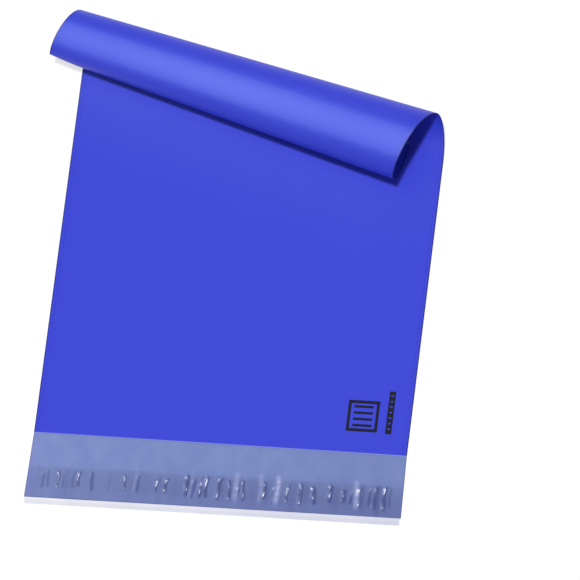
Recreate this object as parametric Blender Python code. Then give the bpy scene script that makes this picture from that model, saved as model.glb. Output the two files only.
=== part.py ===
"""Poly mailer bag, lying on its back panel with its closed end rolled forward over the front panel.

The bag is one plastic film: a back panel that runs on into the sealing flap, a front panel, two side
welds and a fold at the closed end. It is built flat, with its pocket open at the mouth, and then its
closed end is rolled up as a cone, without stretching the film. Metres, +Z up. The origin is on the
underside, in the middle of the mouth, and the flap points to -Y.
"""

import math

import bmesh
import bpy
from mathutils import Matrix, Vector

# Film and bag, laid flat.
BAG_WIDTH = 0.254
BAG_LENGTH = 0.330
FLAP_LENGTH = 0.0425
PLY = 0.00008
POCKET_AIR = 0.0003
SIDE_WELD = 0.003
END_WELD = 0.002
WELD_EASE = 0.006

# Closed end, rolled as a cone whose point lies out past the left edge. The radii are those at the left
# edge, over the crown of the roll and at its front and back bends.
CROWN_RADIUS = 0.0267
BEND_RADIUS = 0.0065
TAPER_REACH = 0.680
TURN_AT_LEFT_CORNER = math.radians(242)
TURN_AT_RIGHT_CORNER = math.radians(370)
CLOSING_IN = 0.18
TURN_STEP = math.radians(5)

# Sealing strip on the inner face of the flap.
GLUE_WIDTH = 0.0135
GLUE_THICKNESS = 0.00006
GLUE_SIDE_MARGIN = 0.007
GLUE_FROM_FLAP_END = 0.0065
LINER_WIDTH = 0.026
LINER_OVERHANG = 0.005
LINER_THICKNESS = 0.00005
LINER_SIDE_MARGIN = 0.0006
STRIP_GAP = 0.00005

BAG_THICKNESS = 2 * PLY + POCKET_AIR
CUTTER_REACH = 0.004

BLUE_FILM = (0.0578, 0.0762, 0.6867, 1.0)
GLUE_GREY = (0.20, 0.25, 0.46, 1.0)
LINER_CLEAR = (0.76, 0.78, 0.88, 1.0)


def clear_scene():
    for old in list(bpy.data.objects):
        bpy.data.objects.remove(old, do_unlink=True)


def new_collection(name):
    collection = bpy.data.collections.new(name)
    bpy.context.scene.collection.children.link(collection)
    return collection


def plastic(name, colour, roughness):
    material = bpy.data.materials.new(name)
    material.use_nodes = True
    shader = material.node_tree.nodes["Principled BSDF"]
    shader.inputs["Base Color"].default_value = colour
    shader.inputs["Roughness"].default_value = roughness
    shader.inputs["Metallic"].default_value = 0.0
    return material


def block(name, x_range, y_range, z_range, top_inset=(0.0, 0.0), collection=None):
    """A box whose top face is drawn in by top_inset: from both sides in X, and from the far end in Y."""
    low = [x_range[0], y_range[0], z_range[0]]
    high = [x_range[1], y_range[1], z_range[1]]
    mesh = bpy.data.meshes.new(name)
    shape = bmesh.new()
    bmesh.ops.create_cube(shape, size=2.0)
    for vertex in shape.verts:
        on_right, far, on_top = (value > 0 for value in vertex.co)
        x_inset = top_inset[0] if on_top else 0.0
        y_inset = top_inset[1] if on_top else 0.0
        vertex.co = (
            high[0] - x_inset if on_right else low[0] + x_inset,
            high[1] - y_inset if far else low[1],
            high[2] if on_top else low[2],
        )
    shape.to_mesh(mesh)
    shape.free()
    made = bpy.data.objects.new(name, mesh)
    collection.objects.link(made)
    return made


def hide_cutter(cutter):
    cutter.hide_render = True
    cutter.display_type = "WIRE"


def combine(target, other, operation):
    modifier = target.modifiers.new(other.name, "BOOLEAN")
    modifier.operation = operation
    modifier.solver = "EXACT"
    modifier.object = other
    hide_cutter(other)


def make_modifiers_real(target):
    graph = bpy.context.evaluated_depsgraph_get()
    mesh = bpy.data.meshes.new_from_object(target.evaluated_get(graph))
    target.modifiers.clear()
    target.data = mesh


def flat_bag(bag, cutters):
    """The flat bag as one closed mesh: both plies joined along the welds, the flap, and the open pocket."""
    half = BAG_WIDTH / 2
    film = block("mailer_film", (-half, half), (-FLAP_LENGTH, BAG_LENGTH), (0.0, 2 * PLY), collection=bag)

    # The front ply leaves the weld on a slope. Both slopes start inside the film, so that they cross it.
    slope = WELD_EASE / POCKET_AIR
    front_half = half - SIDE_WELD + slope * PLY
    front_end = BAG_LENGTH - END_WELD + slope * PLY
    front_rise = slope * (PLY + POCKET_AIR)
    front = block(
        "front_ply", (-front_half, front_half), (-CUTTER_REACH, front_end), (PLY, BAG_THICKNESS),
        top_inset=(front_rise, front_rise), collection=cutters,
    )
    above_flap = block(
        "above_flap", (-half - CUTTER_REACH, half + CUTTER_REACH), (-FLAP_LENGTH - CUTTER_REACH, 0.0),
        (PLY, BAG_THICKNESS + CUTTER_REACH), collection=cutters,
    )
    pocket_half = half - SIDE_WELD
    pocket = block(
        "pocket", (-pocket_half, pocket_half), (-CUTTER_REACH, BAG_LENGTH - END_WELD),
        (PLY, PLY + POCKET_AIR), top_inset=(WELD_EASE, WELD_EASE), collection=cutters,
    )
    combine(film, front, "UNION")
    combine(film, above_flap, "DIFFERENCE")
    combine(film, pocket, "DIFFERENCE")
    make_modifiers_real(film)
    return film


def roll_radius(turn):
    """Radius of the roll's section at the left edge, where the film has turned by this angle.

    It swings between the crown's radius, which also holds underneath, and that of the front and back
    bends, and it shrinks evenly with the turn, so that the end of the film lies inside the first turn.
    """
    middle = (CROWN_RADIUS + BEND_RADIUS) / 2
    swing = (CROWN_RADIUS - BEND_RADIUS) / 2
    return (middle + swing * math.cos(2 * turn)) * (1 - CLOSING_IN * turn / math.tau)


class ConicalRoll:
    """Rolls flat film up as a cone, keeping every distance along the film.

    Straight lines from the cone's point, the rulings, stay straight. A ruling is told by its sweep, the
    angle between it and the line where the film lifts off, measured on the flat film. Each step keeps
    the ruling's direction and the film's normal, and turns both about one fixed axis.
    """

    def __init__(self):
        turns = math.ceil(TURN_AT_RIGHT_CORNER / TURN_STEP) + 1
        self.sweeps = [0.0]
        for step in range(turns):
            radius = roll_radius((step + 0.5) * TURN_STEP)
            self.sweeps.append(self.sweeps[-1] + radius * TURN_STEP / TAPER_REACH)
        self.lift_angle = self.find_lift_angle()
        along = Vector((math.cos(self.lift_angle), math.sin(self.lift_angle), 0.0))
        left_lift = Vector((-BAG_WIDTH / 2, self.left_lift_off(self.lift_angle), 0.0))
        self.point = left_lift - along * TAPER_REACH
        self.frames = [(along, Vector((0.0, 0.0, 1.0)))]
        for step in range(turns):
            self.frames.append(self.frame_at(step, self.sweeps[step + 1] - self.sweeps[step]))

    def sweep_at(self, turn):
        """Sweep of the ruling where the film has turned by this angle."""
        step = int(turn / TURN_STEP)
        share = turn / TURN_STEP - step
        return self.sweeps[step] * (1 - share) + self.sweeps[step + 1] * share

    def left_lift_off(self, angle):
        """Where the roll lifts off on the left edge, if the lift-off line lies at this angle."""
        corner = angle + self.sweep_at(TURN_AT_LEFT_CORNER)
        rise = TAPER_REACH * (math.cos(angle) * math.tan(corner) - math.sin(angle))
        return BAG_LENGTH - rise

    def find_lift_angle(self):
        """Angle of the lift-off line that gives both corners of the closed end their turn, by halving."""
        left = self.sweep_at(TURN_AT_LEFT_CORNER)
        right = self.sweep_at(TURN_AT_RIGHT_CORNER)
        low, high = -1.1, 0.6
        for _ in range(60):
            angle = (low + high) / 2
            reach = TAPER_REACH * math.cos(angle)
            if math.tan(angle + left) * reach > math.tan(angle + right) * (reach + BAG_WIDTH):
                low = angle
            else:
                high = angle
        return angle

    def frame_at(self, step, extra):
        """Ruling direction and film normal, this much sweep past the start of a step."""
        along, normal = self.frames[step]
        bend = TAPER_REACH / roll_radius((step + 0.5) * TURN_STEP)
        axis = bend * along + normal
        turn = Matrix.Rotation(axis.length * extra, 3, axis.normalized())
        return turn @ along, turn @ normal

    def placed(self, flat):
        """The rolled place of a point of the flat bag."""
        offset = Vector((flat.x - self.point.x, flat.y - self.point.y))
        sweep = math.atan2(offset.y, offset.x) - self.lift_angle
        if sweep <= 0:
            return flat.copy()
        step = max(index for index, start in enumerate(self.sweeps[:-1]) if start <= sweep)
        along, normal = self.frame_at(step, sweep - self.sweeps[step])
        return self.point + along * offset.length + normal * flat.z


def roll_up(film, roll):
    """Cuts the flat mesh along the rulings, so that it can bend there, and moves it onto the cone."""
    shape = bmesh.new()
    shape.from_mesh(film.data)
    bmesh.ops.remove_doubles(shape, verts=shape.verts, dist=1e-7)
    for sweep in roll.sweeps:
        angle = roll.lift_angle + sweep
        across = Vector((-math.sin(angle), math.cos(angle), 0.0))
        everything = list(shape.verts) + list(shape.edges) + list(shape.faces)
        bmesh.ops.bisect_plane(shape, geom=everything, dist=1e-8, plane_co=roll.point, plane_no=across)
    for vertex in shape.verts:
        vertex.co = roll.placed(vertex.co)
    bmesh.ops.triangulate(shape, faces=shape.faces)
    shape.to_mesh(film.data)
    shape.free()


def sealing_strip(bag):
    """The glue band on the flap, and the release liner over it, which reaches past the flap's end."""
    half = BAG_WIDTH / 2
    glue_half = half - GLUE_SIDE_MARGIN
    glue_near = -FLAP_LENGTH + GLUE_FROM_FLAP_END
    glue_low = PLY + STRIP_GAP
    glue_top = glue_low + GLUE_THICKNESS
    glue = block(
        "adhesive_strip", (-glue_half, glue_half), (glue_near, glue_near + GLUE_WIDTH),
        (glue_low, glue_top), collection=bag,
    )
    liner_half = half - LINER_SIDE_MARGIN
    liner_near = -FLAP_LENGTH - LINER_OVERHANG
    liner_low = glue_top + STRIP_GAP
    liner = block(
        "release_liner", (-liner_half, liner_half), (liner_near, liner_near + LINER_WIDTH),
        (liner_low, liner_low + LINER_THICKNESS), collection=bag,
    )
    return glue, liner


def main():
    clear_scene()
    bag = new_collection("poly_mailer_bag")
    cutters = new_collection("cutters")
    cutters.hide_render = True
    film = flat_bag(bag, cutters)
    roll_up(film, ConicalRoll())
    film.data.materials.clear()
    film.data.materials.append(plastic("blue_film", BLUE_FILM, 0.38))
    film.data.shade_smooth()
    film.data.set_sharp_from_angle(angle=math.radians(30))
    glue, liner = sealing_strip(bag)
    glue.data.materials.append(plastic("hot_melt", GLUE_GREY, 0.30))
    liner.data.materials.append(plastic("clear_liner", LINER_CLEAR, 0.22))


main()
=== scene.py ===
"""Looks of a rolled poly mailer bag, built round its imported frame.

Three sheets stand for the plain solids: the folded film with its open pocket, the hot-melt glue band on
the flap, and the clear release liner over it. Metres, +Z up. The origin is on the underside, in the
middle of the mouth. The flap points to -Y, and the closed end is rolled up at +Y.
"""

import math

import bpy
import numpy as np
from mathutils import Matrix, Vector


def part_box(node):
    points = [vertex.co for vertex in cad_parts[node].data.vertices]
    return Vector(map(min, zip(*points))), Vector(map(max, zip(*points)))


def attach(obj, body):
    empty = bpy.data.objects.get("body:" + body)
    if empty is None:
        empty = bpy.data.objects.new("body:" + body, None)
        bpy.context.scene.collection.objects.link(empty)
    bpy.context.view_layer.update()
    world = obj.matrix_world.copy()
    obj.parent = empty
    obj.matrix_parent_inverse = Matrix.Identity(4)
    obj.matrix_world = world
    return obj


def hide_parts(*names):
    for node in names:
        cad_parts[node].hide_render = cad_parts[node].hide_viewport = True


bl_info = {
    "name": "Poly Mailer Bag",
    "version": (1, 0, 0),
    "blender": (4, 5, 0),
    "location": "View3D > Sidebar > Mailer",
    "description": "Builds a rolled poly mailer bag with its sealing strip, and a studio round it",
    "category": "Add Mesh",
}

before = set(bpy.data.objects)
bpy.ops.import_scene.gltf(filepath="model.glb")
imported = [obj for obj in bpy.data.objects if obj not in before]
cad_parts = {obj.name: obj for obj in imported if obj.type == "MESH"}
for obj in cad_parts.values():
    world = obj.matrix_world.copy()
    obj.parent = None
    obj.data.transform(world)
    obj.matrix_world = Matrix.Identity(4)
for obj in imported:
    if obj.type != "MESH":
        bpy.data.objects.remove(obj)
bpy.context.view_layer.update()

FILM_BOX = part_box("mailer_film")
GLUE_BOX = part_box("adhesive_strip")
LINER_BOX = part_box("release_liner")

MM = 0.001
ROLL_STEP = math.radians(1)
SHARP_ANGLE = math.radians(40)
WELD_POINTS = 1e-7
FLOOR_REACH = 15.0
FLOOR_DROP = -0.0003
BACKDROP_HEIGHT = 2.0
SENSOR_WIDTH = 36.0
CAMERA_REACH = 100.0

# Colours of edges, rims and small marks, and of painted highlights and painted shade, which go with the
# colours of the film and the strip.
PRESSED_WELD = (0.004, 0.008, 0.26, 1.0)
CUT_EDGE = (0.008, 0.010, 0.13, 1.0)
MOUTH_RIM = (0.24, 0.29, 0.62, 1.0)
FOLD_RIM_HIGHLIGHT = (0.25, 0.28, 0.70, 1.0)
INK = (0.004, 0.004, 0.012, 1.0)
FLAP_EDGE = (0.09, 0.10, 0.20, 1.0)
FLAP_LIP = (0.19, 0.20, 0.53, 1.0)
SOFT_FOLD_HIGHLIGHT = (0.36, 0.42, 0.74, 1.0)
CREASE_SHADE = (0.060, 0.080, 0.30, 1.0)
WHITE = (1.0, 1.0, 1.0, 1.0)


class FilmSettings(bpy.types.PropertyGroup):
    """The bag laid flat."""

    width: bpy.props.FloatProperty(
        name="Width", description="Across the bag, cut edge to cut edge", default=0.254, unit="LENGTH")
    length: bpy.props.FloatProperty(
        name="Length", description="From the mouth to the closed end", default=0.330, unit="LENGTH")
    flap: bpy.props.FloatProperty(
        name="Flap", description="How far the back panel runs past the mouth",
        default=-FILM_BOX[0].y + 0.0007, unit="LENGTH")
    ply: bpy.props.FloatProperty(
        name="Ply", description="Thickness of one layer of film", default=0.00008, unit="LENGTH")
    pocket_air: bpy.props.FloatProperty(
        name="Pocket Air", description="Height of the empty pocket", default=0.0003, unit="LENGTH")
    side_weld: bpy.props.FloatProperty(
        name="Side Weld", description="Width of the weld along each side", default=0.003, unit="LENGTH")
    end_weld: bpy.props.FloatProperty(
        name="End Weld", description="Width of the flattened fold at the closed end",
        default=0.002, unit="LENGTH")
    weld_ease: bpy.props.FloatProperty(
        name="Weld Ease", description="Over what width the plies part beside a weld",
        default=0.006, unit="LENGTH")
    mouth_reach: bpy.props.FloatProperty(
        name="Mouth Reach", description="How far the front ply reaches over the start of the flap",
        default=0.0008, unit="LENGTH")
    flap_skew: bpy.props.FloatProperty(
        name="Flap Skew", description="How much shorter the flap is cut at its right end",
        default=0.0021, unit="LENGTH")
    flap_flare: bpy.props.FloatProperty(
        name="Flap Flare", description="How much the flap widens on each side towards its end",
        default=0.0011, unit="LENGTH")
    columns: bpy.props.IntProperty(
        name="Columns", description="Steps of the mesh across the bag", default=64, min=8)
    panel_rows: bpy.props.IntProperty(
        name="Panel Rows", description="Steps from the mouth to the roll", default=36, min=4)
    roll_rows: bpy.props.IntProperty(
        name="Roll Rows", description="Steps round the roll", default=184, min=24)
    flap_rows: bpy.props.IntProperty(
        name="Flap Rows", description="Steps along the flap", default=10, min=2)
    outside: bpy.props.FloatVectorProperty(
        name="Outside", description="Colour of the film's outer layer", subtype="COLOR",
        size=4, default=(0.0315, 0.0475, 0.600, 1.0), min=0, max=1)
    inside: bpy.props.FloatVectorProperty(
        name="Inside", description="Colour of the film's silver inner layer", subtype="COLOR",
        size=4, default=(0.175, 0.240, 0.520, 1.0), min=0, max=1)


class RollSettings(bpy.types.PropertyGroup):
    """The roll of the closed end. Radii are those at the left edge."""

    crown_radius: bpy.props.FloatProperty(
        name="Crown Radius", description="Over the top of the roll and under it",
        default=0.0267, unit="LENGTH")
    bend_radius: bpy.props.FloatProperty(
        name="Bend Radius", description="At the front and the back of the roll",
        default=0.0065, unit="LENGTH")
    taper_reach: bpy.props.FloatProperty(
        name="Taper Reach", description="From the cone's point to the left edge",
        default=0.680, unit="LENGTH")
    left_turn: bpy.props.FloatProperty(
        name="Left Turn", description="How far the left corner of the closed end has turned",
        default=math.radians(242), subtype="ANGLE")
    right_turn: bpy.props.FloatProperty(
        name="Right Turn", description="How far the right corner of the closed end has turned",
        default=math.radians(370), subtype="ANGLE")
    closing_in: bpy.props.FloatProperty(
        name="Closing In", description="Share of its radius that the roll loses in one turn",
        default=0.18, min=0, max=0.9)


class StripSettings(bpy.types.PropertyGroup):
    """The glue band on the flap and the release liner over it."""

    glue: bpy.props.FloatVectorProperty(
        name="Glue", description="Colour of the hot-melt glue", subtype="COLOR",
        size=4, default=(0.165, 0.215, 0.450, 1.0), min=0, max=1)
    liner: bpy.props.FloatVectorProperty(
        name="Liner", description="Grey cast of the clear liner", subtype="COLOR",
        size=4, default=(0.26, 0.29, 0.56, 1.0), min=0, max=1)
    # Colours of the painted highlights on the creases and folds: soft where weak, near white at their
    # brightest.
    soft_highlight: bpy.props.FloatVectorProperty(
        name="Milk", description="Colour where a fold of the liner has turned milky", subtype="COLOR",
        size=4, default=(0.36, 0.42, 0.76, 1.0), min=0, max=1)
    glint: bpy.props.FloatVectorProperty(
        name="Glint", description="Colour at the sharpest points of the creases", subtype="COLOR",
        size=4, default=(0.80, 0.84, 0.97, 1.0), min=0, max=1)
    skew: bpy.props.FloatProperty(
        name="Skew", description="How much nearer to the mouth the strip's right end lies",
        default=0.0017, unit="LENGTH")
    crease_height: bpy.props.FloatProperty(
        name="Crease Height", description="Height of a full crease over the glue",
        default=0.00045, unit="LENGTH")
    crease_width: bpy.props.FloatProperty(
        name="Crease Width", description="Half the width of a full crease",
        default=0.0007, unit="LENGTH")
    crease_drop: bpy.props.FloatProperty(
        name="Crease Drop", description="How far the creases sit below the middle of the glue band",
        default=0.0015, unit="LENGTH")
    seed: bpy.props.IntProperty(
        name="Seed", description="Picks the small irregularities of the creases", default=7)
    glue_columns: bpy.props.IntProperty(
        name="Glue Columns", description="Points of the glue's mesh across the bag",
        default=601, min=8)
    glue_rows: bpy.props.IntProperty(
        name="Glue Rows", description="Points of the glue's mesh along the bag", default=28, min=4)
    liner_columns: bpy.props.IntProperty(
        name="Liner Columns", description="Points of the liner's mesh across the bag",
        default=901, min=8)
    liner_rows: bpy.props.IntProperty(
        name="Liner Rows", description="Points of the liner's mesh along the bag", default=45, min=4)


class StudioSettings(bpy.types.PropertyGroup):
    """Camera, floor and lights."""

    azimuth: bpy.props.FloatProperty(
        name="Azimuth", description="Where the camera stands round the bag",
        default=math.radians(57), subtype="ANGLE")
    elevation: bpy.props.FloatProperty(
        name="Elevation", description="How high the camera stands", default=math.radians(67.96),
        subtype="ANGLE")
    roll: bpy.props.FloatProperty(
        name="Roll", description="How far the camera is turned about its own line of sight",
        default=math.radians(-51.68), subtype="ANGLE")
    distance: bpy.props.FloatProperty(
        name="Distance", description="From the camera to its aim", default=5.0, unit="LENGTH")
    aim: bpy.props.FloatVectorProperty(
        name="Aim", description="The point in the middle of the picture", size=3,
        default=(0.0346, 0.1037, 0.0), subtype="TRANSLATION")
    lens: bpy.props.FloatProperty(
        name="Lens", description="Focal length in millimetres", default=481.2)
    floor: bpy.props.FloatVectorProperty(
        name="Floor", description="Colour of the floor", subtype="COLOR",
        size=4, default=(0.34, 0.34, 0.34, 1.0), min=0, max=1)
    floor_glow: bpy.props.FloatProperty(
        name="Floor Glow", description="Light of the floor itself, a back-lit white table",
        default=0.66)
    sky: bpy.props.FloatProperty(
        name="Sky", description="Strength of the even light from all round", default=0.32)
    key: bpy.props.FloatProperty(
        name="Key", description="Strength of the light from above", default=2.55)
    key_softness: bpy.props.FloatProperty(
        name="Key Softness", description="How wide the light from above looks from the bag",
        default=math.radians(6), subtype="ANGLE")
    key_direction: bpy.props.FloatVectorProperty(
        name="Key Direction", description="Toward the light from above", size=3,
        default=(0.14, 0.045, 1.0), subtype="DIRECTION")
    strip_height: bpy.props.FloatProperty(
        name="Strip Height", description="From the top of the roll up to the strip light",
        default=0.016, unit="LENGTH")
    strip_width: bpy.props.FloatProperty(
        name="Strip Width", description="Of the strip light", default=0.044, unit="LENGTH")
    strip_offset: bpy.props.FloatProperty(
        name="Strip Offset", description="How far the strip light is moved to the back",
        default=-0.0025, unit="LENGTH")
    strip_overrun: bpy.props.FloatProperty(
        name="Strip Overrun", description="How far the strip light runs past the roll's left end",
        default=0.012, unit="LENGTH")
    strip_power: bpy.props.FloatProperty(
        name="Strip Power", description="Of the strip light, in watts", default=0.1235)
    strip_tint: bpy.props.FloatVectorProperty(
        name="Strip Tint", description="Colour of the strip light", subtype="COLOR",
        size=3, default=(0.82, 1.0, 0.60), min=0, max=1)
    strip_spread: bpy.props.FloatProperty(
        name="Strip Spread", description="How far the strip light's beam opens",
        default=math.radians(132), subtype="ANGLE")


class MailerSettings(bpy.types.PropertyGroup):
    """All settings of the bag and its studio."""

    film: bpy.props.PointerProperty(type=FilmSettings)
    roll: bpy.props.PointerProperty(type=RollSettings)
    strip: bpy.props.PointerProperty(type=StripSettings)
    studio: bpy.props.PointerProperty(type=StudioSettings)


class ConicalRoll:
    """Rolls flat film up as a cone and keeps every distance along the film.

    In words: the straight lines from the cone's point, the rulings, stay straight. A ruling's sweep is
    its angle on the flat film from the line where the film lifts off. Over each small step of turning,
    the ruling's direction and the film's normal both turn about one axis, which is the taper reach over
    the roll's radius along the ruling, plus one along the normal, for each unit of sweep.
    """

    def __init__(self, film, roll):
        self.film = film
        self.roll = roll
        steps = math.ceil(roll.right_turn / ROLL_STEP) + 2
        self.turns = np.arange(steps + 1) * ROLL_STEP
        radii = self.radius(self.turns[:-1] + ROLL_STEP / 2)
        self.bends = roll.taper_reach / radii
        self.sweeps = np.concatenate(([0.0], np.cumsum(radii * ROLL_STEP / roll.taper_reach)))
        self.lift_angle = self.find_lift_angle()
        along = np.array((math.cos(self.lift_angle), math.sin(self.lift_angle)))
        left_lift = np.array((-film.width / 2, self.left_lift_off(self.lift_angle)))
        self.point = left_lift - along * roll.taper_reach
        self.frames = self.turning_frames()

    def radius(self, turn):
        """Swings between the crown's radius and the bends', and shrinks evenly with the turn."""
        middle = (self.roll.crown_radius + self.roll.bend_radius) / 2
        swing = (self.roll.crown_radius - self.roll.bend_radius) / 2
        shrunk = 1 - self.roll.closing_in * turn / math.tau
        return (middle + swing * np.cos(2 * turn)) * shrunk

    def sweep_at(self, turn):
        """Sweep of the ruling where the film has turned by this angle, read between the steps."""
        return float(np.interp(turn, self.turns, self.sweeps))

    def left_lift_off(self, angle):
        """Where the film lifts off on the left edge, if the lift-off line lies at this angle."""
        corner = angle + self.sweep_at(self.roll.left_turn)
        rise = self.roll.taper_reach * (math.cos(angle) * math.tan(corner) - math.sin(angle))
        return self.film.length - rise

    def find_lift_angle(self):
        """Angle of the lift-off line that gives both corners of the closed end their turn.

        It is found by halving the range that holds it.
        """
        left = self.sweep_at(self.roll.left_turn)
        right = self.sweep_at(self.roll.right_turn)
        low, high = -1.1, 0.6
        for _ in range(60):
            angle = (low + high) / 2
            reach = self.roll.taper_reach * math.cos(angle)
            if math.tan(angle + left) * reach > math.tan(angle + right) * (reach + self.film.width):
                low = angle
            else:
                high = angle
        return angle

    def turning_frames(self):
        """Ruling direction, cross direction and film normal as columns, at the start of each step."""
        cosine, sine = math.cos(self.lift_angle), math.sin(self.lift_angle)
        start = np.array(((cosine, -sine, 0.0), (sine, cosine, 0.0), (0.0, 0.0, 1.0)))
        frames = [start]
        for bend, extra in zip(self.bends, np.diff(self.sweeps)):
            axis = Vector((bend, 0.0, 1.0))
            turn = Matrix.Rotation(axis.length * extra, 3, axis.normalized())
            frames.append(frames[-1] @ np.array(turn))
        return np.array(frames)

    def lift_line(self, across):
        """How far along the bag the film lifts off, at a place across it."""
        return self.point[1] + (across - self.point[0]) * math.tan(self.lift_angle)

    def crown_line(self):
        """Both ends of the ruling at the top of the roll, where the film has made half a turn."""
        angle = self.lift_angle + self.sweep_at(math.pi)
        places = np.array((-self.film.width, self.film.width)) / 2
        along = self.point[1] + (places - self.point[0]) * math.tan(angle)
        flat = np.stack((places, along, np.zeros(2)), axis=1)
        return [Vector(place) for place in self.placed(flat)]

    def row_shares(self, rows):
        """Shares of the way from the lift-off line to the closed end, even in turn at the middle."""
        reach = -self.point[0]
        end_sweep = math.atan2(self.film.length - self.point[1], reach) - self.lift_angle
        end_turn = np.interp(end_sweep, self.sweeps, self.turns)
        sweeps = np.interp(np.linspace(0.0, end_turn, rows + 1), self.turns, self.sweeps)
        places = self.point[1] + reach * np.tan(self.lift_angle + sweeps)
        shares = (places - places[0]) / (self.film.length - places[0])
        shares[-1] = 1.0
        return shares

    def placed(self, flat):
        """The rolled places of flat points: across, along and height above the underside.

        In words: a point keeps its distance from the cone's point along its ruling, and its height
        along the film's normal. From the start of its step, both turn about the step's axis.
        """
        offset = flat[:, :2] - self.point
        distance = np.hypot(offset[:, 0], offset[:, 1])
        sweep = np.arctan2(offset[:, 1], offset[:, 0]) - self.lift_angle
        step = np.clip(np.searchsorted(self.sweeps, sweep, side="right") - 1, 0, len(self.bends) - 1)
        bend = self.bends[step]
        length = np.hypot(bend, 1.0)
        along_part, up_part = bend / length, 1.0 / length
        angle = length * (sweep - self.sweeps[step])
        cosine, sine = np.cos(angle), np.sin(angle)
        shared = along_part * up_part * (1 - cosine)
        ruling = np.stack((cosine + along_part**2 * (1 - cosine), up_part * sine, shared), axis=1)
        normal = np.stack((shared, -along_part * sine, cosine + up_part**2 * (1 - cosine)), axis=1)
        ruling = np.einsum("nij,nj->ni", self.frames[step], ruling)
        normal = np.einsum("nij,nj->ni", self.frames[step], normal)
        rolled = ruling * distance[:, None] + normal * flat[:, 2:]
        rolled[:, :2] += self.point
        return np.where((sweep > 0)[:, None], rolled, flat)


class Shell:
    """Grids of flat points that are joined wherever their points meet."""

    def __init__(self):
        self.points = []
        self.inside = []
        self.quads = []
        self.count = 0

    def add(self, across, along, height, inside, turned=False):
        """A grid whose rows run along the bag and whose columns run across it, facing up."""
        grid = np.stack(np.broadcast_arrays(across, along, height), axis=-1)
        rows, columns = grid.shape[:2]
        place = self.count + np.arange(rows * columns).reshape(rows, columns)
        quads = np.stack((place[:-1, :-1], place[:-1, 1:], place[1:, 1:], place[1:, :-1]), axis=-1)
        quads = quads.reshape(-1, 4)
        self.quads.append(quads[:, ::-1] if turned else quads)
        self.points.append(grid.reshape(-1, 3))
        self.inside.append(np.broadcast_to(inside, (rows, columns)).reshape(-1))
        self.count += rows * columns

    def joined(self):
        """Points, quads and the inside mark, with points that meet made one."""
        points = np.concatenate(self.points)
        keys = np.round(points / WELD_POINTS).astype(np.int64)
        _, first, place = np.unique(keys, axis=0, return_index=True, return_inverse=True)
        quads = place.reshape(-1)[np.concatenate(self.quads)]
        return points[first], quads, np.concatenate(self.inside)[first]


def new_piece(name, points, quads, material, attributes):
    """A mesh object at the origin from arrays of points and quads, with its own point attributes."""
    mesh = bpy.data.meshes.new(name)
    mesh.vertices.add(len(points))
    mesh.vertices.foreach_set("co", points.astype(np.float32).ravel())
    mesh.loops.add(quads.size)
    mesh.loops.foreach_set("vertex_index", quads.astype(np.int32).ravel())
    mesh.polygons.add(len(quads))
    mesh.polygons.foreach_set("loop_start", np.arange(0, quads.size, 4, dtype=np.int32))
    mesh.update(calc_edges=True)
    mesh.validate()
    for key, values in attributes.items():
        if values.ndim == 2:
            attribute = mesh.attributes.new(key, "FLOAT_VECTOR", "POINT")
            attribute.data.foreach_set("vector", values.astype(np.float32).ravel())
        else:
            attribute = mesh.attributes.new(key, "FLOAT", "POINT")
            attribute.data.foreach_set("value", values.astype(np.float32))
    mesh.shade_smooth()
    mesh.set_sharp_from_angle(angle=SHARP_ANGLE)
    mesh.materials.append(material)
    piece = bpy.data.objects.new(name, mesh)
    bpy.context.scene.collection.objects.link(piece)
    return piece


def film_columns(film):
    """Places across the bag: the cut edges, both sides of the welds, and even steps between."""
    half = film.width / 2
    weld = half - film.side_weld
    eased = weld - film.weld_ease
    edge = np.array((eased + film.weld_ease / 2, weld, weld + film.side_weld / 2, half))
    middle = np.linspace(-eased, eased, film.columns + 1 - 2 * len(edge))
    return np.concatenate((-edge[::-1], middle, edge))


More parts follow.
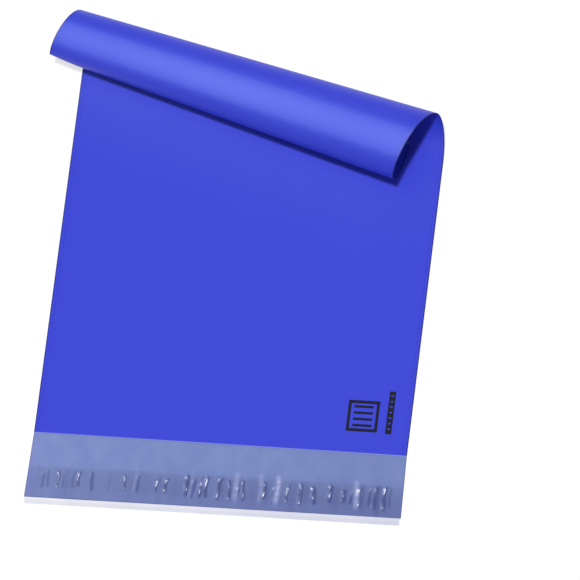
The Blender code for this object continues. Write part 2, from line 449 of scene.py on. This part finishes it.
def film_shell(film, roll):
    """The flat bag as one closed shell.

    In words: each column runs up the flap, along the floor of the pocket to the closed end, back along
    its ceiling to the mouth, over the front panel, round the closed end and back under the whole bag.
    In the welds the floor and the ceiling of the pocket are left out. The plies part beside the welds
    by a height that rises evenly over the weld ease.
    """
    across = film_columns(film)
    half = film.width / 2
    in_pocket = np.abs(across) < half - film.side_weld + WELD_POINTS
    lift = roll.lift_line(across)
    mouth = -film.mouth_reach
    to_lift = mouth + np.linspace(0.0, 1.0, film.panel_rows + 1)[:-1, None] * (lift - mouth)
    in_roll = lift + roll.row_shares(film.roll_rows)[:, None] * (film.length - lift)
    along = np.concatenate((to_lift, in_roll))
    toward_end = np.linspace(1.0, 0.0, film.flap_rows + 1)[:, None]
    flap_end = film.flap_skew * (across + half) / film.width - film.flap
    flap = mouth + toward_end * (flap_end - mouth)
    flared = across * (1 + toward_end * film.flap_flare / half)

    def pocket_height(across, along):
        from_side = half - film.side_weld - np.abs(across)
        from_end = film.length - film.end_weld - along
        return film.pocket_air * np.clip(np.minimum(from_side, from_end) / film.weld_ease, 0.0, 1.0)

    ply = film.ply
    top = 2 * ply + pocket_height(across, along)
    inner_across = across[in_pocket]
    pocket_share = (film.length - film.end_weld - mouth) / (film.length - mouth)
    inner_along = mouth + (along[:, in_pocket] - mouth) * pocket_share
    inner_air = pocket_height(inner_across, inner_along)

    shell = Shell()
    shell.add(flared, flap, ply, 1.0)
    shell.add(inner_across, inner_along, ply, 1.0)
    shell.add(inner_across, inner_along, ply + inner_air, 1.0, turned=True)
    mouth_low = np.where(in_pocket, top[0] - ply, ply)
    shell.add(across, np.full((2, 1), mouth), np.stack((mouth_low, top[0])),
              np.array(((1.0,), (0.0,))))
    shell.add(across, along, top, 0.0)
    shell.add(across, along[-1], np.array(((2 * ply,), (ply,), (0.0,))), 0.0)
    shell.add(flared, flap, 0.0, 0.0, turned=True)
    shell.add(across, along, 0.0, 0.0, turned=True)
    shell.add(flared[0], flap[0], np.array(((0.0,), (ply,))), np.array(((0.0,), (1.0,))))
    for side, turned in ((0, False), (-1, True)):
        body = along[:, side, None]
        shell.add(across[side], body, np.array((0.0, ply, 2 * ply)), 0.0, turned=turned)
        shell.add(flared[:, side, None], flap[:, side, None], np.array((0.0, ply)),
                  np.array((0.0, 1.0)), turned=turned)
    return shell.joined()


def crease_places():
    """Where the creases cross the glue band, from the bag's middle line, and how strong each is."""
    places = (-117, -113, -106, -102.5, -96.5, -92, -83.5, -72, -60.5, -52, -39.5,
              -33.5, -18.8, -15.5, -9.8, -6.2, 2, 10.5, 14.5, 20, 32.5, 39.5,
              49, 58, 67, 77, 86.5, 91, 97, 103, 107, 113.5, 118)
    strengths = (0.3, 0.3, 0.9, 0.2, 0.2, 0.8, 0.45, 0.2, 0.8, 0.35, 0.75,
                 0.8, 0.9, 0.5, 0.9, 0.8, 0.7, 0.9, 0.5, 0.7, 0.8, 0.6,
                 0.8, 0.8, 0.9, 0.8, 0.7, 0.35, 0.6, 0.4, 0.6, 0.7, 0.3)
    return MM * np.array(places), np.array(strengths)


def fold_places():
    """Where the broad soft folds cross the flap, and how strong each is."""
    places = (-53, -15, 15.2, 31.4, 42.9, 95.7)
    strengths = (0.25, 0.2, 0.7, 0.5, 1.0, 0.8)
    return MM * np.array(places), np.array(strengths)


def step_down(value, edge, soft):
    """One well below the edge, nought well above it: one over one plus e to the soft distance."""
    return 1 / (1 + np.exp(np.clip((value - edge) / soft, -60, 60)))


def bell(value, width):
    """A round hump: e to minus the square of the value over the width."""
    return np.exp(-((value / width) ** 2))


def crease(strip, rng, place, tall, across, share, from_low):
    """Height, painted highlight and painted shade of one crease.

    In words: a round ridge, a bell curve across and a window with soft ends along the bag. It leans a
    little, and its head curls over by the square of the way into the head. A thin painted highlight
    runs up its left flank between painted bright spots at its foot and at its head, and a line of
    painted shade runs up its right flank. Its strength wavers as a sine along it.
    """
    lean, curl, stout = rng.uniform((-0.08, -1.0, 0.7), (0.14, 1.6, 1.35))
    foot, head = rng.uniform((-0.04, 0.78), (0.26, 1.06))
    head_spot, foot_spot = rng.uniform((0.2, -1.2), (1.3, 0.7))
    curled = 0.30
    hook = np.clip(share - head + curled, 0.0, None) / curled
    bend = 0.25 * MM * np.sin(share * rng.uniform(3, 9) + rng.uniform(0, math.tau))
    bent = place + lean * from_low + curl * MM * hook**2 + bend
    offset = (across - bent) / (strip.crease_width * stout)
    window = tall * step_down(share, head, 0.03) * step_down(foot, share, 0.03)
    waver = 0.6 + 0.4 * np.sin(share * rng.uniform(6, 14) + rng.uniform(0, math.tau))
    height = strip.crease_height * (0.35 + 0.65 * waver) * window * bell(offset, 1.3)
    at_head = bell(share - head + 0.09, 0.08) * bell(offset + 0.3, 0.9)
    at_foot = bell(share - foot - 0.08, 0.06) * bell(offset + 0.6, 0.7)
    light = window * (0.44 * waver * bell(offset + 0.8, 0.80)
                      + max(head_spot, 0.0) * at_head + max(foot_spot, 0.0) * at_foot)
    dark = window * 0.46 * bell(offset - 1.5, 1.3)
    return height, light, dark


def hollow(rng, left, right, rightness, across, share):
    """Painted shade in the hollow between two creases.

    In words: a bell curve across, and a window between a sill and a brow with soft ends along the bag.
    The painted shade is darker on the right.
    """
    shade_strength, brow, sill = rng.uniform((-0.05, 0.95, -0.60), (0.05, 1.45, -0.10))
    shade_strength += 0.05 * (1 + rightness)
    offset = (across - (left + right) / 2) / (0.42 * (right - left))
    reach = step_down(share, brow, 0.10) * step_down(sill, share, 0.15)
    return max(shade_strength, 0.0) * reach * bell(offset, 1.0)


def soft_fold(strip, place, strength, across, share):
    """Height and painted highlight of one broad fold, which runs past both edges of the glue band.

    In words: a low and wide bell curve that drifts sideways as a sine along the bag. Its painted
    highlight falls off faster at its flanks than its height does, and wavers a little as a sine along
    the fold.
    """
    drift = 0.4 * MM * np.sin(share * 3.1 + place / MM)
    offset = (across - place - drift) / ((1.1 + 0.8 * strength) * MM)
    reach = step_down(share, 1.6, 0.05) * step_down(-0.05, share, 0.08)
    highlight_waver = 0.93 + 0.07 * np.sin(share * 21.0 + place / MM)
    height = 0.6 * strip.crease_height * strength * reach * bell(offset, 1.3)
    light = 0.68 * strength * reach * highlight_waver * np.exp(-(np.abs(offset) ** 2.5))
    return height, light


def ripples(strip, across, along):
    """Height, painted highlight and painted shade of all creases, hollows and broad folds over the glue
    band, summed up.

    A share of nought is the creases' lowest place and one their highest, a glue band's width apart.
    """
    rng = np.random.default_rng(strip.seed)
    low, high = GLUE_BOX[0].y - strip.crease_drop, GLUE_BOX[1].y - strip.crease_drop
    from_low = along - low
    share = from_low / (high - low)
    height = np.zeros(np.broadcast(across, along).shape)
    light, dark = np.zeros_like(height), np.zeros_like(height)
    places, strengths = crease_places()
    for place, tall in zip(places, strengths):
        raised, lit, shaded = crease(strip, rng, place, tall, across, share, from_low)
        height += raised
        light += lit
        dark += shaded
    for left, right in zip(places, places[1:]):
        dark += hollow(rng, left, right, left / places[-1], across, share)
    for place, strength in zip(*fold_places()):
        raised, lit = soft_fold(strip, place, strength, across, share)
        height += raised
        light += lit
    return height, np.clip(light, 0.0, 1.0), np.clip(dark, 0.0, 1.0)


def strip_grid(box, columns, rows):
    """Even places across and along a node's box."""
    low, high = box
    across = np.linspace(low.x, high.x, columns)
    along = np.linspace(low.y, high.y, rows)[:, None] + 0.0 * across
    return across, along


def closed_sheet(across, along, under, top):
    """A closed sheet between two height fields on one grid, with a wall along each side."""
    shell = Shell()
    shell.add(across, along, top, 0.0)
    shell.add(across, along, under, 0.0, turned=True)
    for row, turned in ((0, False), (-1, True)):
        wall = np.stack((under[row], top[row]))
        shell.add(across, np.full((2, 1), along[row, 0]), wall, 0.0, turned=turned)
    for column, turned in ((0, False), (-1, True)):
        wall = np.stack((under[:, column], top[:, column]), axis=1)
        shell.add(across[column], along[:, :1], wall, 0.0, turned=turned)
    points, quads, _ = shell.joined()
    return points, quads


def follow_flap(film, strip, points):
    """Moves points of the strip with the flap, which flares and is cut a little askew.

    In words: the place across grows by the share that the flap flares, and the place along the bag
    moves towards the mouth, evenly from nought at the left end to the skew at the right.
    """
    moved = points.copy()
    half = film.width / 2
    moved[:, 0] *= 1 + film.flap_flare / half
    moved[:, 1] += strip.skew * (points[:, 0] + half) / film.width
    return moved


class Field:
    """A number that changes over the surface, with its maths written as Python."""

    def __init__(self, shader, socket):
        self.shader = shader
        self.socket = socket

    def __add__(self, other):
        return self.shader.maths("ADD", self, other)

    def __sub__(self, other):
        return self.shader.maths("SUBTRACT", self, other)

    def __rsub__(self, other):
        return self.shader.maths("SUBTRACT", other, self)

    def __mul__(self, other):
        return self.shader.maths("MULTIPLY", self, other)

    def __truediv__(self, other):
        return self.shader.maths("DIVIDE", self, other)

    __radd__ = __add__
    __rmul__ = __mul__


class Shader:
    """The nodes of one material."""

    def __init__(self, name):
        self.material = bpy.data.materials.new(name)
        self.material.use_nodes = True
        self.tree = self.material.node_tree
        self.tree.nodes.clear()

    def node(self, kind, settings=None, sockets=None, output=None):
        """Makes a node, gives it its settings, fills its sockets and returns one of its outputs."""
        made = self.tree.nodes.new(kind)
        for key, value in (settings or {}).items():
            setattr(made, key, value)
        inputs = {socket.identifier: socket for socket in made.inputs}
        for key, value in (sockets or {}).items():
            if isinstance(value, Field):
                self.tree.links.new(value.socket, inputs[key])
            else:
                inputs[key].default_value = value
        outputs = {socket.identifier: socket for socket in made.outputs}
        if not outputs:
            return None
        return Field(self, outputs[output] if output else made.outputs[0])

    def maths(self, operation, first, second=0.0):
        """One Math node on one or two numbers."""
        sockets = {"Value": first, "Value_001": second}
        return self.node("ShaderNodeMath", {"operation": operation}, sockets)

    def mix(self, first, second, factor):
        """First colour, going over to the second as the factor goes to one."""
        sockets = {"A_Color": first, "B_Color": second, "Factor_Float": factor}
        return self.node("ShaderNodeMix", {"data_type": "RGBA"}, sockets, "Result_Color")

    def attribute(self, name, output="Fac"):
        """What the mesh carries under this name, as a number or another output."""
        return self.node("ShaderNodeAttribute", {"attribute_name": name}, None, output)

    def parts(self, vector):
        """The three numbers of a vector."""
        return [self.node("ShaderNodeSeparateXYZ", None, {"Vector": vector}, axis) for axis in "XYZ"]

    def rise(self, value, start, end):
        """Nought before start, one after end, and a smooth rise between them."""
        sockets = {"Value": value, "From Min": start, "From Max": end}
        return self.node("ShaderNodeMapRange", {"interpolation_type": "SMOOTHSTEP"}, sockets)

    def noise(self, vector, scale, detail=3.0):
        """Noise around a half, with its own scale along each of the vector's axes."""
        stretched = self.node("ShaderNodeMapping", None, {"Vector": vector, "Scale": scale})
        sockets = {"Vector": stretched, "Scale": 1.0, "Detail": detail}
        return self.node("ShaderNodeTexNoise", None, sockets)

    def within(self, value, low, high, soft):
        """One between low and high, with a smooth rise and fall at both ends."""
        risen = self.rise(value, low - soft, low + soft)
        return risen * (1 - self.rise(value, high - soft, high + soft))

    def bump(self, height, strength, distance):
        """The surface's normal, tilted by a height that changes over it."""
        sockets = {"Height": height, "Strength": strength, "Distance": distance}
        return self.node("ShaderNodeBump", None, sockets, "Normal")

    def finish(self, **sockets):
        """Ends in a Principled shader with these sockets."""
        named = {key.replace("_", " ").title(): value for key, value in sockets.items()}
        named = {key.replace("Ior", "IOR"): value for key, value in named.items()}
        surface = self.node("ShaderNodeBsdfPrincipled", None, named)
        self.node("ShaderNodeOutputMaterial", None, {"Surface": surface})
        return self.material


def tinted(colour, red, green, blue):
    """The colour with its three parts scaled."""
    return (colour[0] * red, colour[1] * green, colour[2] * blue, 1.0)


def printed_mark(shader, across, along):
    """One where there is black print on the front panel: a bar with bare ticks, and a ruled block.

    In words: each is a rectangle with soft edges, in millimetres across and along the bag. The block's
    border is its outer rectangle less its inner one. Ticks and rules repeat along the bag: each covers
    a part of the fraction that is left of the place over the pitch.
    """
    soft = 0.08 * MM

    def patch(left, right, low, high):
        return (shader.within(across, left * MM, right * MM, soft)
                * shader.within(along, low * MM, high * MM, soft))

    def repeated(start, pitch, first, last, blur):
        step = shader.maths("FRACT", (along - start * MM) / (pitch * MM))
        return shader.within(step, first, last, blur)

    bar = patch(110.6, 114.8, 13.0, 41.0)
    ticks = patch(111.8, 113.6, 15.5, 38.8) * repeated(14.6, 3.6, 0.38, 0.62, 0.04)
    border = patch(84.0, 105.0, 13.6, 34.0) * (1 - patch(86.0, 103.0, 15.6, 32.0))
    rules = patch(88.0, 101.0, 15.6, 32.0) * repeated(15.6, 4.1, 0.30, 0.70, 0.03)
    return bar * (1 - ticks) + border + rules


def folds_above_liner(shader, across, along):
    """Painted highlight of the broad folds on the flap, from their upper ends down to the liner's edge.
    """
    half_width, reach = 1.5 * MM, 3.0 * MM
    light = 0.0
    for place, strength in zip(*fold_places()):
        column = shader.within(across, place - half_width, place + half_width, 1.1 * MM)
        light = light + strength * column
    top = LINER_BOX[1].y
    return 0.50 * light * shader.within(along, top - reach, top + reach, 1.6 * MM)


def film_material(film, roll):
    """Blue polyethylene film, silver inside: soft sheen, faint draw lines, and pressed welds."""
    shader = Shader("mailer_film")
    flat = shader.attribute("flat", "Vector")
    across, along, _ = shader.parts(flat)
    inside = shader.attribute("inside")
    half = film.width / 2
    to_right = (across + half) / film.width
    down_flap = shader.node("ShaderNodeClamp", None, {"Value": along / -film.flap})
    from_side = half + film.flap_flare * down_flap - shader.maths("ABSOLUTE", across)
    from_end = along + film.flap - film.flap_skew * to_right

    draw_lines = shader.noise(flat, (420.0, 5.0, 1.0), 4.0)
    clouds = shader.noise(flat, (30.0, 11.0, 1.0), 2.0)
    grain = shader.noise(flat, (1500.0, 1500.0, 1.0), 2.0)

    base = tuple(film.outside)
    deep = tinted(base, 0.9, 0.93, 0.97)
    pale = tinted(base, 1.1, 1.07, 1.03)
    outer = shader.mix(deep, pale, 0.25 * draw_lines + 0.5 * clouds + 0.12)
    weld_line = shader.within(from_side, 2.5 * MM, 3.1 * MM, 0.15 * MM)
    dashes = shader.within(shader.maths("FRACT", along / (2.4 * MM)), 0.2, 0.75, 0.08)
    outer = shader.mix(outer, PRESSED_WELD, 0.40 * weld_line * dashes)
    cut_edge = 1 - shader.rise(from_side, 0.4 * MM, 1.0 * MM)
    outer = shader.mix(outer, CUT_EDGE, 0.85 * cut_edge)
    mouth_rim = 1 - shader.rise(along + film.mouth_reach, 0.4 * MM, 0.9 * MM)
    outer = shader.mix(outer, MOUTH_RIM, 0.8 * mouth_rim)
    # A pale painted highlight along the fold at the closed end of the outer film.
    fold_rim_highlight = shader.rise(along, film.length - 1.2 * MM, film.length - 0.3 * MM)
    outer = shader.mix(outer, FOLD_RIM_HIGHLIGHT, 0.6 * fold_rim_highlight)
    ink = printed_mark(shader, across, along) * (1 - inside)
    outer = shader.mix(outer, INK, ink)

    silver = tuple(film.inside)
    bright = tinted(silver, 1.16, 1.12, 1.06)
    dull = tinted(silver, 0.84, 0.87, 0.91)
    shaded = tinted(silver, 0.52, 0.54, 0.66)
    blotches = shader.noise(flat, (85.0, 60.0, 1.0), 3.0)
    inner = shader.mix(dull, bright, 0.7 * clouds + 1.6 * blotches + 0.25 * draw_lines - 0.80)
    off_edges = (shader.rise(from_side, 0.2 * MM, 0.9 * MM)
                 * shader.rise(from_end, 0.2 * MM, 0.9 * MM))
    inner = shader.mix(inner, FLAP_EDGE, 0.75 * (1 - off_edges))
    lower = 1 - shader.rise(along, -0.85 * film.flap, -0.30 * film.flap)
    inner = shader.mix(inner, shaded, to_right * (0.35 + 0.35 * lower) + 0.25 * lower)
    lip = 1 - shader.rise(from_side, 2 * MM, 7 * MM)
    inner = shader.mix(inner, FLAP_LIP, 0.40 * lip * (1 - to_right))
    # Painted highlights of the broad folds on the flap, above the liner.
    inner = shader.mix(inner, SOFT_FOLD_HIGHLIGHT, folds_above_liner(shader, across, along))

    colour = shader.mix(outer, inner, inside)
    past_lift = along - roll.point[1] - math.tan(roll.lift_angle) * (across - roll.point[0])
    on_roll = shader.rise(past_lift, 0.0, 25 * MM)
    rough = 0.76 - 0.39 * on_roll + 0.06 * grain + 0.05 * ink - 0.44 * inside
    height = 0.6 * grain + 1.2 * draw_lines + 8.0 * clouds - 2.0 * weld_line * dashes
    return shader.finish(base_color=colour, roughness=rough, ior=1.42,
                         normal=shader.bump(height, 0.10, 0.1 * MM))


def glue_material(strip):
    """Hot-melt glue: a smooth tacky band, a little darker than the film under it."""
    shader = Shader("adhesive_strip")
    flat = shader.attribute("flat", "Vector")
    clouds = shader.noise(flat, (60.0, 90.0, 1.0), 3.0)
    base = tuple(strip.glue)
    colour = shader.mix(base, tinted(base, 1.35, 1.3, 1.2), clouds)
    return shader.finish(base_color=colour, roughness=0.22 + 0.15 * clouds, ior=1.40,
                         alpha=0.01 + 0.03 * clouds, normal=shader.bump(clouds, 0.3, 0.3 * MM))


def liner_material(strip):
    """Clear release liner: a faint grey cast over what lies under it, with painted highlights and
    painted shade on its creases and folds.
    """
    shader = Shader("release_liner")
    flat = shader.attribute("flat", "Vector")
    across, along, _ = shader.parts(flat)
    light = shader.attribute("crease_painted_highlight")
    dark = shader.attribute("crease_painted_shade")
    clouds = shader.noise(flat, (45.0, 60.0, 1.0), 3.0)
    low, high = LINER_BOX
    # Painted shade along the creases and in the hollows, then painted highlights over the creases and
    # folds: soft where weak, near white where strong.
    colour = shader.mix(tuple(strip.liner), CREASE_SHADE, shader.rise(dark, 0.0, 0.15))
    colour = shader.mix(colour, tuple(strip.soft_highlight), shader.rise(light, 0.0, 0.20))
    colour = shader.mix(colour, tuple(strip.glint), shader.rise(light, 0.5, 0.9))
    lowest = 1 - shader.rise(along, low.y + 2.2 * MM, low.y + 2.8 * MM)
    overhang = 1 - shader.rise(along, low.y + 4.8 * MM, low.y + 5.2 * MM)
    top_edge = shader.rise(along + 5 * MM * clouds, high.y - MM, high.y + 3 * MM)
    to_right = (across - low.x) / (high.x - low.x)
    # Where the painted shade and painted highlights lie, the liner is also less clear.
    alpha = ((0.03 + 0.08 * clouds) * (1 - top_edge) + (0.04 + 0.09 * to_right) * overhang
             + 0.03 * lowest + 0.60 * dark)
    alpha = shader.maths("MAXIMUM", alpha, 0.95 * light)
    return shader.finish(base_color=colour, roughness=0.16 + 0.10 * clouds, ior=1.45,
                         alpha=alpha, normal=shader.bump(clouds, 0.25, 0.2 * MM))


class MAILER_OT_film(bpy.types.Operator):
    """Builds the folded film: both panels, the flap, the welds and the rolled closed end"""

    bl_idname = "mailer.film"
    bl_label = "Film"

    def execute(self, context):
        settings = context.scene.mailer
        film = settings.film
        roll = ConicalRoll(film, settings.roll)
        flat, quads, inside = film_shell(film, roll)
        piece = new_piece("film", roll.placed(flat), quads, film_material(film, roll),
                          {"flat": flat, "inside": inside})
        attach(piece, "root")
        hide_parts("mailer_film")
        return {"FINISHED"}


class MAILER_OT_glue(bpy.types.Operator):
    """Builds the hot-melt glue band with its creases"""

    bl_idname = "mailer.glue"
    bl_label = "Glue Band"

    def execute(self, context):
        settings = context.scene.mailer
        strip = settings.strip
        across, along = strip_grid(GLUE_BOX, strip.glue_columns, strip.glue_rows)
        raised, _, _ = ripples(strip, across, along)
        top = GLUE_BOX[1].z + raised
        under = np.full_like(top, GLUE_BOX[0].z)
        points, quads = closed_sheet(across, along, under, top)
        piece = new_piece("glue_band", follow_flap(settings.film, strip, points), quads,
                          glue_material(strip), {"flat": points})
        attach(piece, "root")
        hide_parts("adhesive_strip")
        return {"FINISHED"}


class MAILER_OT_liner(bpy.types.Operator):
    """Builds the clear release liner, creased over the glue and hanging past the flap's end"""

    bl_idname = "mailer.liner"
    bl_label = "Release Liner"

    def execute(self, context):
        settings = context.scene.mailer
        strip = settings.strip
        low, high = LINER_BOX
        flap_end = -settings.film.flap
        across, along = strip_grid(LINER_BOX, strip.liner_columns, strip.liner_rows)
        raised, _, _ = ripples(strip, across, along)
        step = 1.5 * MM
        on_flap = np.clip((along - flap_end + step) / step, 0.0, 1.0)
        under = low.z * (0.25 + 0.75 * on_flap) + raised * on_flap
        points, quads = closed_sheet(across, along, under, under + high.z - low.z)
        # Painted highlight and painted shade of the creases and folds, carried to the liner's material.
        _, light, dark = ripples(strip, points[:, 0], points[:, 1])
        over_flap = points[:, 1] > flap_end
        marks = {"flat": points, "crease_painted_highlight": light * over_flap, "crease_painted_shade": dark * over_flap}
        piece = new_piece("liner", follow_flap(settings.film, strip, points), quads,
                          liner_material(strip), marks)
        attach(piece, "root")
        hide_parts("release_liner")
        return {"FINISHED"}


def board_material(name, colour, glow):
    """Matt board with a white glow of its own."""
    return Shader(name).finish(base_color=colour, roughness=0.9, specular_ior_level=0.0,
                               emission_color=WHITE, emission_strength=glow)


def new_light(scene, data):
    """An object for the light's data, linked to the scene."""
    light = bpy.data.objects.new(data.name, data)
    scene.collection.objects.link(light)
    return light


class MAILER_OT_studio(bpy.types.Operator):
    """Sets the floor, the lights and the camera"""

    bl_idname = "mailer.studio"
    bl_label = "Studio"

    def execute(self, context):
        studio = context.scene.mailer.studio
        self.floor(studio)
        self.lights(context.scene, studio)
        self.camera(context.scene, studio)
        return {"FINISHED"}

    def floor(self, studio):
        """A wide floor, and white boards along its far edges, which only the camera sees."""
        corners = FLOOR_REACH * np.array(((-1, -1, 0), (1, -1, 0), (1, 1, 0), (-1, 1, 0)))
        corners[:, 2] = FLOOR_DROP
        floor = new_piece("floor", corners, np.array(((0, 1, 2, 3),)),
                          board_material("floor", tuple(studio.floor), studio.floor_glow), {})
        tops = corners + np.array((0.0, 0.0, BACKDROP_HEIGHT))
        start = np.arange(4)
        end = (start + 1) % 4
        walls = np.stack((end, start, start + 4, end + 4), axis=1)
        backdrop = new_piece("backdrop", np.concatenate((corners, tops)), walls,
                             board_material("backdrop", WHITE, 1.0), {})
        backdrop.visible_diffuse = False
        backdrop.visible_glossy = False
        backdrop.visible_transmission = False
        backdrop.visible_shadow = False

    def lights(self, scene, studio):
        """Even light from all round, and a soft light from above."""
        scene.view_settings.view_transform = "Standard"
        world = bpy.data.worlds.new("studio")
        world.use_nodes = True
        sky = world.node_tree.nodes["Background"]
        sky.inputs["Color"].default_value = WHITE
        sky.inputs["Strength"].default_value = studio.sky
        scene.world = world
        key = bpy.data.lights.new("key", "SUN")
        key.energy = studio.key
        key.angle = studio.key_softness
        overhead = new_light(scene, key)
        toward_key = Vector(studio.key_direction)
        overhead.rotation_euler = toward_key.to_track_quat("Z", "Y").to_euler()
        self.crown_strip(scene, studio)

    def crown_strip(self, scene, studio):
        """A narrow softbox along the top of the roll, close over it, which only its gloss reflects."""
        settings = scene.mailer
        left, right = ConicalRoll(settings.film, settings.roll).crown_line()
        along = (right - left).normalized()
        across = Vector((0.0, 0.0, 1.0)).cross(along).normalized()
        up = along.cross(across)
        data = bpy.data.lights.new("crown_strip", "AREA")
        data.shape = "RECTANGLE"
        data.size = (right - left).length + studio.strip_overrun
        data.size_y = studio.strip_width
        data.energy = studio.strip_power
        data.color = studio.strip_tint
        data.spread = studio.strip_spread
        strip = new_light(scene, data)
        middle = (left + right) / 2 - along * studio.strip_overrun / 2
        place = middle + up * studio.strip_height + across * studio.strip_offset
        turn = Matrix((along, across, up)).transposed().to_4x4()
        strip.matrix_world = Matrix.Translation(place) @ turn
        strip.visible_camera = False
        strip.visible_diffuse = False

    def camera(self, scene, studio):
        """Stands back from the aim along the line of sight, turned about it by its roll."""
        azimuth, elevation = studio.azimuth, studio.elevation
        back = Vector((math.sin(azimuth) * math.cos(elevation),
                       -math.cos(azimuth) * math.cos(elevation),
                       math.sin(elevation)))
        level = Vector((math.cos(azimuth), math.sin(azimuth), 0.0))
        upright = back.cross(level)
        right = level * math.cos(studio.roll) + upright * math.sin(studio.roll)
        up = upright * math.cos(studio.roll) - level * math.sin(studio.roll)
        data = bpy.data.cameras.new("camera")
        data.sensor_width = SENSOR_WIDTH
        data.lens = studio.lens
        data.clip_end = CAMERA_REACH
        camera = bpy.data.objects.new("camera", data)
        scene.collection.objects.link(camera)
        turn = Matrix((right, up, back)).transposed().to_4x4()
        camera.matrix_world = Matrix.Translation(Vector(studio.aim) + back * studio.distance) @ turn
        scene.camera = camera


class MAILER_PT_bag(bpy.types.Panel):
    """Lists the bag's pieces and sizes"""

    bl_idname = "MAILER_PT_bag"
    bl_label = "Poly Mailer Bag"
    bl_space_type = "VIEW_3D"
    bl_region_type = "UI"
    bl_category = "Mailer"

    def draw(self, context):
        settings = context.scene.mailer
        for operator in OPERATORS:
            self.layout.operator(operator.bl_idname)
        for group in (settings.film, settings.roll, settings.strip, settings.studio):
            box = self.layout.box()
            for name in group.__annotations__:
                box.prop(group, name)


OPERATORS = (MAILER_OT_film, MAILER_OT_glue, MAILER_OT_liner, MAILER_OT_studio)
SETTINGS = (FilmSettings, RollSettings, StripSettings, StudioSettings, MailerSettings)
CLASSES = (*SETTINGS, *OPERATORS, MAILER_PT_bag)


def register():
    for each in CLASSES:
        bpy.utils.register_class(each)
    bpy.types.Scene.mailer = bpy.props.PointerProperty(type=MailerSettings)


def unregister():
    del bpy.types.Scene.mailer
    for each in reversed(CLASSES):
        bpy.utils.unregister_class(each)


def main():
    register()
    bpy.ops.mailer.film()
    bpy.ops.mailer.glue()
    bpy.ops.mailer.liner()
    bpy.ops.mailer.studio()


if __name__ == "__main__":
    main()
